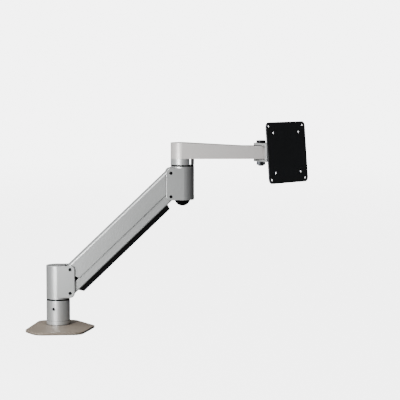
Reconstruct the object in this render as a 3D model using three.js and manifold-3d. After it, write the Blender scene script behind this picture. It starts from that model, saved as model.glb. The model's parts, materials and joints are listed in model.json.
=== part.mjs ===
// A desk monitor arm: a base with a swivel, a gas-sprung parallelogram arm, a forearm and a tilting head.
// Millimetres, +Z up. The origin is on the swivel axis at the underside of the base; the arm reaches
// along +X. Turned groups place the links, the forearm and the head at their rest angles.
import * as THREE from 'three';
import { mergeVertices } from 'three/addons/utils/BufferGeometryUtils.js';
import Module from 'manifold-3d';

const wasm = await Module();
wasm.setup();

// Driving dimensions.
const LIFT = THREE.MathUtils.degToRad(43.6);
const FOREARM_YAW = THREE.MathUtils.degToRad(-4);
const HEAD_PAN = THREE.MathUtils.degToRad(-42);
const HEAD_TILT = THREE.MathUtils.degToRad(5);
const COLUMN_RADIUS = 22.5;
const GAP = 0.3;
const ROUND = 32;
const SMALL_ROUND = 12;

// Base.
const PAD_THICKNESS = 1;
const PLATE_THICKNESS = 4;
const PLATE_TOP = PAD_THICKNESS + PLATE_THICKNESS;
const PLATE = { x: 3.3, y: -29.5 };
// The foot plate's six corners, counterclockwise from the back right, each with its corner radius.
const PLATE_CORNERS = [
  { x: 31, y: 50, radius: 18 },
  { x: -37, y: 47, radius: 16 },
  { x: -61, y: -66, radius: 18 },
  { x: -40, y: -105.5, radius: 24 },
  { x: 45, y: -104, radius: 22 },
  { x: 70, y: -22, radius: 10 },
];
const FIXING_HOLES = { across: 34, along: 46, radius: 2.5, depth: 3.2 };
const TUBE_TOP = 52;
const FLANGE = 2.5;
const BUSH_OUTER = 11;
const BUSH_INNER = 9.2;
const POST_RADIUS = 9;
const BASE_SCREW = { ring: 16.5, radius: 3, headRadius: 5.2, head: 3, depth: 14, count: 3 };
const SET_SCREW = { height: 36, turn: THREE.MathUtils.degToRad(-112), radius: 3, recess: 2 };

// Knuckles: the same casting below and above, turned over. Heights are from the end next to the swivel.
const KNUCKLE = { height: 64, nearPin: 12, farPin: 57, pinX: 23, cheekReach: 32, cheekStart: 3 };
const SLOT = { half: 19, start: 13.5, floor: 2.2 };
const LOWER_KNUCKLE_Z = TUBE_TOP + FLANGE;
const PIN = { radius: 3, hole: 3.15, recess: 1.1 };
const SLEEVE = { radius: 5.2, hole: 5.3, bore: 3.25 };

// Links.
const LINK = 265;
const NOSE = 8.9;
const UPPER_CHANNEL = { halfWidth: 18.5, wall: 2, corner: 3.5, top: 7.7, bottom: -23.4, farCut: 17, nearCut: 2 };
const LOWER_CHANNEL = { halfWidth: 16, wall: 2, corner: 2, top: 24.6, bottom: -7.2, farCut: 3, nearCut: 18 };
const COVER = { halfWidth: 13, height: 9.2, wall: 1.6, start: 15.5, end: 250, slant: 5.5, tabs: 3 };

// Gas spring, measured in the upper channel's frame (eye) and from the knuckle (anchor).
const ANCHOR = { x: 27, z: 34.5, screwX: 17.3 };
const BRACKET_WEB = 1.6;
const SPRING_EYE = { along: 195, across: -10, radius: 10, hole: 6.6, half: 5 };
const CYLINDER = { radius: 9, bore: 8, length: 120, tail: 14 };
const ROD = { radius: 4, length: 152, eyeRadius: 6.5, piston: 7.6 };

// Forearm and head.
const FOREARM = { reach: 150, barBottom: 12.1, hubTop: 42.6, endTop: 36.6, endHalf: 19, wall: 4, flat: 36 };
const TIE_SLOT = { from: 13.6, to: 16 };
const YOKE = { plate: 4, washer: 1, half: 18, back: -14, wallAt: 24, wall: 5, ears: 12, earWall: 5 };
const PAN = { radius: 5, hole: 5.2, bushRadius: 8, headRadius: 9 };
const TILT = { forward: 44, radius: 11, screw: 4, screwInner: 7.5, plateGap: 18 };
const VESA = { half: 57.5, corner: 9, thickness: 3, patterns: [75, 100], hole: 2.5 };

const upperPin = new THREE.Vector3(KNUCKLE.pinX, 0, LOWER_KNUCKLE_Z + KNUCKLE.farPin);
const lowerPin = new THREE.Vector3(KNUCKLE.pinX, 0, LOWER_KNUCKLE_Z + KNUCKLE.nearPin);
const pinSpacing = KNUCKLE.farPin - KNUCKLE.nearPin;
const farPin = upperPin.clone().add(new THREE.Vector3(LINK * Math.cos(LIFT), 0, LINK * Math.sin(LIFT)));
const upperKnuckleX = farPin.x + KNUCKLE.pinX;
const upperKnuckleZ = farPin.z - (KNUCKLE.height - KNUCKLE.nearPin);
const forearmZ = upperKnuckleZ + KNUCKLE.height + FLANGE;

// Finishes.
function finish(color, roughness, metalness) {
  return new THREE.MeshStandardMaterial({ color, roughness, metalness });
}
const silverPaint = finish(0xb4b6b6, 0.42, 0.35);
const platePaint = finish(0x8c8276, 0.4, 0.35);
const blackPlastic = finish(0x101112, 0.45, 0);
const greyPlastic = finish(0x9d9f9d, 0.5, 0);
const blackSteel = finish(0x1b1b1c, 0.4, 0.8);
const zincSteel = finish(0xa8aaac, 0.35, 0.9);
const chromeSteel = finish(0xd0d2d4, 0.15, 1);
const springPaint = finish(0x16171a, 0.35, 0.2);
const rubber = finish(0x1c1c1c, 0.85, 0);

// Solids from three.js geometry, joined and cut with manifold.
function toSolid(geometry) {
  geometry.deleteAttribute('normal');
  geometry.deleteAttribute('uv');
  const merged = mergeVertices(geometry, 1e-5);
  const vertProperties = new Float32Array(merged.attributes.position.array);
  const triVerts = new Uint32Array(merged.index.array);
  return new wasm.Manifold(new wasm.Mesh({ numProp: 3, vertProperties, triVerts }));
}

function toGeometry(solid) {
  const result = solid.getMesh();
  const geometry = new THREE.BufferGeometry();
  geometry.setAttribute('position', new THREE.BufferAttribute(result.vertProperties, 3));
  geometry.setIndex(new THREE.BufferAttribute(result.triVerts, 1));
  return geometry;
}

function join(...solids) {
  return solids.reduce((whole, next) => whole.add(next));
}

function cut(solid, ...tools) {
  return tools.reduce((rest, tool) => rest.subtract(tool), solid);
}

function box(x0, x1, y0, y1, z0, z1) {
  const geometry = new THREE.BoxGeometry(x1 - x0, y1 - y0, z1 - z0);
  geometry.translate((x0 + x1) / 2, (y0 + y1) / 2, (z0 + z1) / 2);
  return toSolid(geometry);
}

// A turned piece: profile points are [radius, height], starting and ending on the axis.
function turned(points, segments = ROUND) {
  const profile = points.map(([radius, height]) => new THREE.Vector2(radius, height));
  const geometry = new THREE.LatheGeometry(profile, segments);
  geometry.rotateX(Math.PI / 2);
  return toSolid(geometry);
}

// A rod along Z with chamfered ends.
function rodZ(radius, bottom, top, segments = ROUND, chamfer = 0) {
  if (chamfer === 0) {
    return turned([[0, bottom], [radius, bottom], [radius, top], [0, top]], segments);
  }
  const rim = radius - chamfer;
  return turned([
    [0, bottom], [rim, bottom], [radius, bottom + chamfer],
    [radius, top - chamfer], [rim, top], [0, top],
  ], segments);
}

function rodY(radius, from, to, x, z, segments = SMALL_ROUND, chamfer = 0) {
  return rodZ(radius, from, to, segments, chamfer).rotate([-90, 0, 0]).translate([x, 0, z]);
}

function rodX(radius, from, to, y, z, segments = SMALL_ROUND, chamfer = 0) {
  return rodZ(radius, from, to, segments, chamfer).rotate([0, 90, 0]).translate([0, y, z]);
}

// Extrusions of an outline along each axis. Along X the outline is (Y, Z); along Y it is (X, Z).
function extrude(shape, depth, curveSegments) {
  return new THREE.ExtrudeGeometry(shape, { depth, bevelEnabled: false, curveSegments });
}

function alongZ(shape, from, to, curveSegments = 12) {
  return toSolid(extrude(shape, to - from, curveSegments).translate(0, 0, from));
}

function alongX(shape, from, to, curveSegments = 6) {
  const geometry = extrude(shape, to - from, curveSegments).translate(0, 0, from);
  const axes = [new THREE.Vector3(0, 1, 0), new THREE.Vector3(0, 0, 1), new THREE.Vector3(1, 0, 0)];
  return toSolid(geometry.applyMatrix4(new THREE.Matrix4().makeBasis(...axes)));
}

function alongY(shape, from, to, curveSegments = 12) {
  const geometry = extrude(shape, to - from, curveSegments).translate(0, 0, -to);
  const axes = [new THREE.Vector3(1, 0, 0), new THREE.Vector3(0, 0, 1), new THREE.Vector3(0, -1, 0)];
  return toSolid(geometry.applyMatrix4(new THREE.Matrix4().makeBasis(...axes)));
}

function polygon(points) {
  return new THREE.Shape(points.map(([x, y]) => new THREE.Vector2(x, y)));
}

function roundedRectangle(x0, x1, y0, y1, radius) {
  const shape = new THREE.Shape();
  shape.absarc(x1 - radius, y0 + radius, radius, -Math.PI / 2, 0);
  shape.absarc(x1 - radius, y1 - radius, radius, 0, Math.PI / 2);
  shape.absarc(x0 + radius, y1 - radius, radius, Math.PI / 2, Math.PI);
  shape.absarc(x0 + radius, y0 + radius, radius, Math.PI, 1.5 * Math.PI);
  return shape;
}

// A hexagonal key socket, along +Z from the given height.
function hexSocket(radius, bottom, top) {
  return rodZ(radius, bottom, top, 6);
}

// A cap screw along Z: the head's underside at zero, the shank reaching down, a key socket in the head.
function capScrew(radius, length, headRadius, head, socket) {
  const shank = rodZ(radius, -length, 0.5, SMALL_ROUND);
  const cap = rodZ(headRadius, 0, head, SMALL_ROUND, 0.4);
  return cut(join(shank, cap), hexSocket(socket, head * 0.4, head + 1));
}

function place(group, name, solid, material) {
  const mesh = new THREE.Mesh(toGeometry(solid), material);
  mesh.name = name;
  group.add(mesh);
}

function subgroup(parent, x, y, z) {
  const group = new THREE.Group();
  group.position.set(x, y, z);
  parent.add(group);
  return group;
}

// Base.
// A convex outline with round corners, moved inwards by the inset.
function roundedPolygon(corners, inset, steps = 8) {
  const points = [];
  corners.forEach((corner, index) => {
    const here = new THREE.Vector2(corner.x, corner.y);
    const last = corners[(index + corners.length - 1) % corners.length];
    const next = corners[(index + 1) % corners.length];
    const arriving = here.clone().sub(new THREE.Vector2(last.x, last.y)).normalize();
    const leaving = new THREE.Vector2(next.x, next.y).sub(here).normalize();
    const turn = Math.atan2(arriving.cross(leaving), arriving.dot(leaving));
    const inward = leaving.clone().sub(arriving).normalize();
    const center = here.clone().addScaledVector(inward, corner.radius / Math.cos(turn / 2));
    const start = Math.atan2(-arriving.x, arriving.y);
    for (let i = 0; i <= steps; i += 1) {
      const angle = start + (turn * i) / steps;
      const radius = corner.radius - inset;
      points.push([center.x + radius * Math.cos(angle), center.y + radius * Math.sin(angle)]);
    }
  });
  return polygon(points);
}

function plateOutline(inset) {
  return roundedPolygon(PLATE_CORNERS, inset);
}

function fixingHolePlaces() {
  const places = [];
  for (const sx of [-1, 1]) {
    for (const sy of [-1, 1]) {
      places.push([PLATE.x + sx * FIXING_HOLES.across, PLATE.y + sy * FIXING_HOLES.along]);
    }
  }
  return places;
}

function baseScrewPlaces() {
  const places = [];
  for (let i = 0; i < BASE_SCREW.count; i += 1) {
    const angle = (2 * Math.PI * (i + 0.5)) / BASE_SCREW.count;
    places.push([BASE_SCREW.ring * Math.cos(angle), BASE_SCREW.ring * Math.sin(angle)]);
  }
  return places;
}

function flangedBush() {
  const length = 45;
  return turned([
    [BUSH_INNER, -length], [BUSH_OUTER, -length], [BUSH_OUTER, 0],
    [COLUMN_RADIUS - 0.3, 0], [COLUMN_RADIUS - 0.3, FLANGE],
    [BUSH_INNER, FLANGE], [BUSH_INNER, -length],
  ]);
}

function radialRod(radius, from, to) {
  const rod = rodX(radius, from, to, 0, 0, SMALL_ROUND);
  return rod.rotate([0, 0, THREE.MathUtils.radToDeg(SET_SCREW.turn)]).translate([0, 0, SET_SCREW.height]);
}

function buildBase(root) {
  const holes = fixingHolePlaces();
  const screws = baseScrewPlaces();
  let pad = alongZ(plateOutline(1.5), 0, PAD_THICKNESS);
  let plate = join(
    alongZ(plateOutline(0), PAD_THICKNESS, PLATE_TOP - 0.6),
    alongZ(plateOutline(0.7), PAD_THICKNESS + 1, PLATE_TOP),
  );
  for (const [x, y] of holes) {
    const depth = PAD_THICKNESS + FIXING_HOLES.depth;
    const hole = rodZ(FIXING_HOLES.radius, -1, depth, SMALL_ROUND).translate([x, y, 0]);
    pad = pad.subtract(hole);
    plate = plate.subtract(hole);
  }
  const boreDepth = TUBE_TOP - 45.5;
  let tube = turned([
    [0, PLATE_TOP], [COLUMN_RADIUS, PLATE_TOP], [COLUMN_RADIUS, TUBE_TOP - 0.8],
    [COLUMN_RADIUS - 0.8, TUBE_TOP], [0, TUBE_TOP],
  ]);
  const groove = cut(
    rodZ(COLUMN_RADIUS + 1, PLATE_TOP + 7.7, PLATE_TOP + 8.3),
    rodZ(COLUMN_RADIUS - 0.4, PLATE_TOP + 7, PLATE_TOP + 9),
  );
  tube = cut(tube, rodZ(BUSH_OUTER + 0.15, boreDepth, TUBE_TOP + 1), groove);
  tube = tube.subtract(radialRod(SET_SCREW.radius, 5, COLUMN_RADIUS + 1));
  screws.forEach(([x, y], index) => {
    const head = rodZ(BASE_SCREW.headRadius + 0.2, -1, BASE_SCREW.head + 0.2, SMALL_ROUND).translate([x, y, 0]);
    const shaft = rodZ(BASE_SCREW.radius + 0.2, 0, PLATE_TOP + BASE_SCREW.depth + 1, SMALL_ROUND);
    const through = shaft.translate([x, y, 0]);
    pad = pad.subtract(head);
    plate = cut(plate, head, through);
    tube = tube.subtract(through);
    const length = PLATE_TOP + BASE_SCREW.depth - BASE_SCREW.head;
    const screw = capScrew(BASE_SCREW.radius, length, BASE_SCREW.headRadius, BASE_SCREW.head - 0.6, 2);
    const placed = screw.rotate([180, 0, 0]).translate([x, y, BASE_SCREW.head]);
    place(root, `base_screw_${index + 1}`, placed, zincSteel);
  });
  place(root, 'base_pad', pad, rubber);
  place(root, 'base_plate', plate, platePaint);
  place(root, 'base_tube', tube, silverPaint);
  const bush = flangedBush().translate([0, 0, TUBE_TOP]);
  place(root, 'base_bush', bush.subtract(radialRod(SET_SCREW.radius, 5, 12)), blackPlastic);
  const outer = COLUMN_RADIUS - SET_SCREW.recess;
  const body = radialRod(SET_SCREW.radius - 0.2, POST_RADIUS + 0.5, outer);
  const key = rodZ(1.5, outer - 3, outer + 1, 6).rotate([0, 90, 0]);
  const socket = key.rotate([0, 0, THREE.MathUtils.radToDeg(SET_SCREW.turn)]);
  place(root, 'base_set_screw', body.subtract(socket.translate([0, 0, SET_SCREW.height])), blackSteel);
}

// Knuckles.
function cheekOutline() {
  const { cheekReach: reach, cheekStart: start, nearPin, height, pinX } = KNUCKLE;
  const topRadius = 6.5;
  const shape = new THREE.Shape();
  shape.moveTo(0, start);
  shape.absarc(pinX, nearPin, reach - pinX, -Math.PI / 2, 0);
  shape.absarc(reach - topRadius, height - topRadius, topRadius, 0, Math.PI / 2);
  shape.lineTo(0, height);
  return shape;
}

function knuckleCasting() {
  const column = rodZ(COLUMN_RADIUS, 0, KNUCKLE.height, ROUND, 0.5);
  const cheeks = alongY(cheekOutline(), -COLUMN_RADIUS, COLUMN_RADIUS, 8);
  const slot = box(SLOT.start, KNUCKLE.cheekReach + 1, -SLOT.half, SLOT.half, SLOT.floor, KNUCKLE.height + 1);
  let casting = join(column, cheeks).subtract(slot);
  for (const z of [KNUCKLE.nearPin, KNUCKLE.farPin]) {
    casting = casting.subtract(rodY(PIN.hole, -COLUMN_RADIUS - 1, COLUMN_RADIUS + 1, KNUCKLE.pinX, z));
  }
  return casting;
}

function pivotPin(x, z) {
  const half = COLUMN_RADIUS - PIN.recess;
  const socket = rodZ(1.6, half - 2.5, half + 1, 6).rotate([90, 0, 0]).translate([x, 0, z]);
  return rodY(PIN.radius, -half, half, x, z, SMALL_ROUND, 0.3).subtract(socket);
}

function buildLowerKnuckle(root) {
  const group = subgroup(root, 0, 0, LOWER_KNUCKLE_Z);
  const top = KNUCKLE.height;
  const web = { bottom: 44, top: 50 };
  const lug = { from: SLOT.start - 1, to: 21, half: 7, low: [20, 24], high: [45, 49] };
  const lugs = [lug.low, lug.high].map(([z0, z1]) => box(lug.from, lug.to, -lug.half, lug.half, z0, z1));
  let casting = join(knuckleCasting(), ...lugs);
  casting = cut(
    casting,
    rodZ(POST_RADIUS + 0.15, -1, web.bottom),
    rodZ(4.3, web.bottom - 1, web.top + 1, SMALL_ROUND),
    rodZ(11.2, web.top, top + 1),
    rodZ(3.2, 19, 50, SMALL_ROUND).translate([ANCHOR.screwX, 0, 0]),
  );
  place(group, 'lower_knuckle', casting, silverPaint);
  const postTap = rodZ(4.15, 26, web.bottom + 1, SMALL_ROUND);
  const post = rodZ(POST_RADIUS, 8 - LOWER_KNUCKLE_Z, web.bottom - 0.1, ROUND, 0.6).subtract(postTap);
  place(group, 'lower_post', post, zincSteel);
  place(group, 'lower_post_bolt', capScrew(4, 22, 6.5, 5, 2.6).translate([0, 0, web.top]), blackSteel);
  place(group, 'lower_knuckle_cap', rodZ(11, top - 3, top, ROUND, 0.4), greyPlastic);
  place(group, 'lower_knuckle_near_pin', pivotPin(KNUCKLE.pinX, KNUCKLE.nearPin), blackSteel);
  place(group, 'lower_knuckle_far_pin', pivotPin(KNUCKLE.pinX, KNUCKLE.farPin), blackSteel);

  const { x, z, screwX } = ANCHOR;
  const clevis = new THREE.Shape();
  clevis.moveTo(SLOT.start + 0.8, z - 6);
  clevis.absarc(x, z, 6, -Math.PI / 2, Math.PI / 2);
  clevis.lineTo(SLOT.start + 0.8, z + 6);
  const anchor = cut(
    alongY(clevis, -9, 9, 8),
    box(x - 6.8, x + 8, -SPRING_EYE.half - 0.4, SPRING_EYE.half + 0.4, z - 8, z + 8),
    rodY(3.1, -10, 10, x, z),
    rodZ(2.85, z - 8, z + 8, SMALL_ROUND).translate([screwX, 0, 0]),
  );
  place(group, 'spring_anchor', anchor, zincSteel);
  place(group, 'spring_anchor_pin', rodY(2.95, -9.6, 9.6, x, z, SMALL_ROUND, 0.3), zincSteel);
  const screw = cut(rodZ(2.7, 19.4, 50.6, SMALL_ROUND, 0.4), hexSocket(1.5, 47.6, 52));
  place(group, 'lift_adjust_screw', screw.translate([screwX, 0, 0]), blackSteel);
}

// Links: a folded channel trimmed to its side outline, with a sleeve for each pivot pin.
function channelSection({ halfWidth, wall, corner, top, bottom }, opensDown) {
  const outer = roundedRectangle(-halfWidth, halfWidth, bottom - 10, top, corner);
  const inner = roundedRectangle(
    -halfWidth + wall, halfWidth - wall, bottom - 20, top - wall, Math.max(corner - wall, 0.5),
  );
  const trim = box(-20, LINK + 20, -30, 30, bottom - 30, bottom);
  const folded = cut(alongX(outer, -12, LINK + 12), alongX(inner, -13, LINK + 13), trim);
  return opensDown ? folded : folded.mirror([0, 0, 1]);
}

// The side outline of a link with the web on top: round noses about both pins, cut back below them.
function linkOutline(top, bottom, nearCut, farCut) {
  const shape = new THREE.Shape();
  const reach = (cutBack) => Math.atan2(bottom, cutBack) - Math.acos(NOSE / Math.hypot(cutBack, bottom));
  shape.moveTo(nearCut, bottom);
  shape.lineTo(LINK - farCut, bottom);
  shape.absarc(LINK, 0, NOSE, Math.PI - reach(farCut) - 2 * Math.PI, Math.PI / 2);
  shape.lineTo(0, NOSE);
  shape.absarc(0, 0, NOSE, Math.PI / 2, reach(nearCut) + 2 * Math.PI);
  if (top > NOSE) {
    throw new Error('The web stands above the nose.');
  }
  return shape;
}

function pivotSleeve(u, half) {
  return rodY(SLEEVE.radius, -half, half, u, 0).subtract(rodY(SLEEVE.bore, -half - 1, half + 1, u, 0));
}

function withSleeveHoles(channel) {
  return cut(channel, rodY(SLEEVE.hole, -30, 30, 0, 0), rodY(SLEEVE.hole, -30, 30, LINK, 0));
}

function buildUpperLink(root) {
  const group = subgroup(root, upperPin.x, 0, upperPin.z);
  group.rotation.y = -LIFT;
  const size = UPPER_CHANNEL;
  const outline = alongY(linkOutline(size.top, size.bottom, size.nearCut, size.farCut), -25, 25, 10);
  const channel = withSleeveHoles(channelSection(size, true).intersect(outline));
  place(group, 'upper_channel', channel, silverPaint);
  const half = size.halfWidth - 0.1;
  place(group, 'upper_channel_near_sleeve', pivotSleeve(0, half), blackPlastic);
  place(group, 'upper_channel_far_sleeve', pivotSleeve(LINK, half), blackPlastic);
  const { along, across, half: eyeHalf } = SPRING_EYE;
  const bracketTop = size.top - size.wall - GAP;
  const cheek = new THREE.Shape();
  cheek.moveTo(along + 14, bracketTop);
  cheek.lineTo(along - 14, bracketTop);
  cheek.absarc(along, across, 7, Math.PI, 2 * Math.PI);
  const bracket = cut(
    alongY(cheek, -eyeHalf - 3.6, eyeHalf + 3.6),
    box(along - 20, along + 20, -eyeHalf - 0.6, eyeHalf + 0.6, across - 10, bracketTop - BRACKET_WEB),
    rodY(3.1, -20, 20, along, across),
  );
  place(group, 'gas_spring_bracket', bracket, zincSteel);
  const springPin = rodY(2.95, -eyeHalf - 4.4, eyeHalf + 4.4, along, across, SMALL_ROUND, 0.3);
  place(group, 'gas_spring_pin', springPin, zincSteel);
}

function lowerOutline() {
  const size = LOWER_CHANNEL;
  const shape = new THREE.Shape();
  const depth = -size.bottom;
  const tangent = (cutBack) => Math.atan2(size.top, cutBack) + Math.acos(NOSE / Math.hypot(cutBack, size.top));
  shape.moveTo(size.nearCut, size.top);
  shape.absarc(0, 0, NOSE, tangent(size.nearCut), Math.PI + Math.asin(depth / NOSE));
  shape.lineTo(LINK + Math.sqrt(NOSE ** 2 - depth ** 2), -depth);
  shape.absarc(LINK, 0, NOSE, -Math.asin(depth / NOSE), Math.PI - tangent(size.farCut));
  shape.lineTo(LINK - size.farCut, size.top);
  return shape;
}

function coverTab(u, grow) {
  const floor = LOWER_CHANNEL.bottom;
  return box(u - 6 - grow, u + 6 + grow, -1.5 - grow, 1.5 + grow, floor - 2, floor + LOWER_CHANNEL.wall + 1.5);
}

function buildLowerLink(root) {
  const group = subgroup(root, lowerPin.x, 0, lowerPin.z);
  group.rotation.y = -LIFT;
  const size = LOWER_CHANNEL;
  const upright = { ...size, top: -size.bottom, bottom: -size.top };
  const tabs = [];
  for (let i = 0; i < COVER.tabs; i += 1) {
    tabs.push(COVER.start + ((i + 0.5) * (COVER.end - COVER.start)) / COVER.tabs);
  }
  let channel = channelSection(upright, false).intersect(alongY(lowerOutline(), -25, 25, 10));
  channel = cut(withSleeveHoles(channel), ...tabs.map((u) => coverTab(u, GAP)));
  place(group, 'lower_channel', channel, silverPaint);
  const half = size.halfWidth + 0.2;
  place(group, 'lower_channel_near_sleeve', pivotSleeve(0, half), blackPlastic);
  place(group, 'lower_channel_far_sleeve', pivotSleeve(LINK, half), blackPlastic);

  const top = size.bottom - GAP;
  const bottom = size.bottom - COVER.height;
  const side = polygon([
    [COVER.start, top], [COVER.start + COVER.slant, bottom],
    [COVER.end - COVER.slant / 2, bottom], [COVER.end, top],
  ]);
  const section = roundedRectangle(-COVER.halfWidth, COVER.halfWidth, bottom, top + 5, 1.5);
  const hollow = roundedRectangle(
    -COVER.halfWidth + COVER.wall, COVER.halfWidth - COVER.wall, bottom + COVER.wall, top + 6, 0.8,
  );
  const ends = [COVER.start + COVER.slant + COVER.wall, COVER.end - COVER.slant - COVER.wall];
  const shell = cut(alongX(section, 0, LINK).intersect(alongY(side, -20, 20)), alongX(hollow, ...ends));
  const ribs = tabs.map((u) => box(u - 5, u + 5, -COVER.halfWidth + 1, COVER.halfWidth - 1, bottom + 1, top));
  place(group, 'cable_cover', join(shell, ...ribs, ...tabs.map((u) => coverTab(u, 0))), blackPlastic);
}

// Gas spring between the anchor on the lower knuckle and the pin in the upper channel.
function buildGasSpring(root) {
  const from = new THREE.Vector3(ANCHOR.x, 0, LOWER_KNUCKLE_Z + ANCHOR.z);
  const to = new THREE.Vector3(SPRING_EYE.along, 0, SPRING_EYE.across);
  to.applyAxisAngle(new THREE.Vector3(0, 1, 0), -LIFT).add(upperPin);
  const length = from.distanceTo(to);
  const group = subgroup(root, from.x, 0, from.z);
  group.rotation.y = -Math.atan2(to.z - from.z, to.x - from.x);

  const rodStart = 12;
  const piston = rodX(ROD.piston, ROD.length - 8, ROD.length, 0, 0, 16);
  place(group, 'gas_rod', join(rodX(ROD.radius, rodStart, ROD.length - 1, 0, 0, 16), piston), chromeSteel);
  const eyeNeck = rodX(5.2, 3, 18, 0, 0, 16).subtract(rodX(ROD.radius + 0.15, rodStart - 0.3, 19, 0, 0, 16));
  const eye = join(rodY(ROD.eyeRadius, -SPRING_EYE.half, SPRING_EYE.half, 0, 0), eyeNeck);
  place(group, 'gas_rod_eye', eye.subtract(rodY(3.15, -9, 9, 0, 0)), blackSteel);

  const tail = length - CYLINDER.tail;
  const mouth = tail - CYLINDER.length;
  const barrel = rodX(CYLINDER.radius, mouth, tail, 0, 0, 24, 0.8);
  place(group, 'gas_cylinder', barrel.subtract(rodX(CYLINDER.bore, mouth - 1, tail - 3, 0, 0, 24)), springPaint);
  const gland = rodX(CYLINDER.bore - 0.15, mouth - 1.5, mouth + 8, 0, 0, 24);
  place(group, 'gas_cylinder_gland', gland.subtract(rodX(ROD.radius + 0.2, mouth - 3, mouth + 9, 0, 0, 16)), blackPlastic);
  const endEye = join(
    rodY(SPRING_EYE.radius, -SPRING_EYE.half, SPRING_EYE.half, length, 0, 20),
    rodX(4.5, tail + GAP, length - SPRING_EYE.hole - 1, 0, 0, 16),
  );
  place(group, 'gas_cylinder_eye', endEye.subtract(rodY(SPRING_EYE.hole, -9, 9, length, 0, 20)), blackSteel);
}

// Upper knuckle: the same casting turned over, with a through bore for the forearm's bush.
function buildUpperKnuckle(root) {
  const group = subgroup(root, upperKnuckleX, 0, upperKnuckleZ);
  const top = KNUCKLE.height;
  const casting = knuckleCasting().rotate([0, 180, 0]).translate([0, 0, top]);
  place(group, 'upper_knuckle', casting.subtract(rodZ(BUSH_OUTER + 0.15, -1, top + 1)), silverPaint);
  place(group, 'upper_knuckle_near_pin', pivotPin(-KNUCKLE.pinX, top - KNUCKLE.nearPin), blackSteel);
  place(group, 'upper_knuckle_far_pin', pivotPin(-KNUCKLE.pinX, top - KNUCKLE.farPin), blackSteel);
  place(group, 'upper_bush', flangedBush().translate([0, 0, top]), blackPlastic);
  const domeRadius = 15.5;
  const drop = 12;
  const dome = [[0, -drop]];
  const steps = 6;
  const rimAngle = Math.acos((domeRadius - drop) / domeRadius);
  for (let i = 1; i <= steps; i += 1) {
    const angle = (rimAngle * i) / steps;
    dome.push([domeRadius * Math.sin(angle), -drop + domeRadius * (1 - Math.cos(angle))]);
  }
  const plug = turned([...dome, [10.9, 0], [10.9, 4], [0, 4]], 28);
  place(group, 'knuckle_plug', plug, blackPlastic);
}

// Forearm: a hollow tapering beam on a hub, with a post that turns in the upper bush.
function forearmBeamOutline() {
  const { reach, endHalf } = FOREARM;
  const lean = Math.asin((COLUMN_RADIUS - endHalf) / reach);
  const shape = new THREE.Shape();
  shape.absarc(0, 0, COLUMN_RADIUS, Math.PI / 2 - lean, 1.5 * Math.PI + lean);
  shape.absarc(reach, 0, endHalf, -Math.PI / 2 + lean, Math.PI / 2 - lean);
  return shape;
}

function buildForearm(root) {
  const group = subgroup(root, upperKnuckleX, 0, forearmZ);
  group.rotation.z = FOREARM_YAW;
  const { reach, barBottom, hubTop, endTop, wall, flat } = FOREARM;
  const side = polygon([
    [-30, barBottom], [reach + 30, barBottom], [reach + 30, endTop], [reach - flat, endTop],
    [0, hubTop], [-30, hubTop],
  ]);
  const beam = alongZ(forearmBeamOutline(), 0, hubTop + 1, 16).intersect(alongY(side, -30, 30));
  const pocket = { from: 26, to: reach - 20, half: 15 };
  const coverBottom = barBottom + GAP;
  const hollow = box(pocket.from, pocket.to, -pocket.half, pocket.half, barBottom - 1, endTop - wall);
  const coverSeat = box(pocket.from - 2, pocket.to + 1, -pocket.half - 1, pocket.half + 1, barBottom - 1, barBottom + 2.6);
  const hub = rodZ(COLUMN_RADIUS, GAP, barBottom + 1, ROUND, 0.5);
  const forearm = cut(
    join(beam, hub),
    hollow,
    coverSeat,
    box(TIE_SLOT.from, TIE_SLOT.to, -30, 30, -1, barBottom),
    rodZ(POST_RADIUS + 0.15, -1, 32),
    rodZ(PAN.bushRadius + 0.15, barBottom - 1, endTop + 1, 24).translate([reach, 0, 0]),
  );
  place(group, 'forearm', forearm, silverPaint);
  const cover = roundedRectangle(pocket.from - 1.7, pocket.to + 0.7, -pocket.half - 0.7, pocket.half + 0.7, 2);
  place(group, 'forearm_cover', alongZ(cover, coverBottom, coverBottom + 2), greyPlastic);
  const postBottom = -FLANGE - 46;
  const post = rodZ(POST_RADIUS, postBottom, 31.7, ROUND, 0.6).subtract(rodZ(3.2, postBottom - 1, postBottom + 18, SMALL_ROUND));
  place(group, 'forearm_post', post, zincSteel);
  const washer = rodZ(10.8, postBottom - 2.3, postBottom - 0.1, 20).subtract(rodZ(3.2, postBottom - 4, postBottom + 1, 16));
  place(group, 'post_washer', washer, zincSteel);
  const bolt = capScrew(3, 16, 5, 4, 2.1).rotate([180, 0, 0]).translate([0, 0, postBottom - 2.4]);
  place(group, 'post_bolt', bolt, blackSteel);
  const bush = cut(rodZ(PAN.bushRadius, barBottom + 0.1, endTop - 0.1, 24), rodZ(PAN.hole, 0, 50, 24));
  place(group, 'pan_bush', bush.translate([reach, 0, 0]), blackPlastic);
  return group;
}

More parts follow.
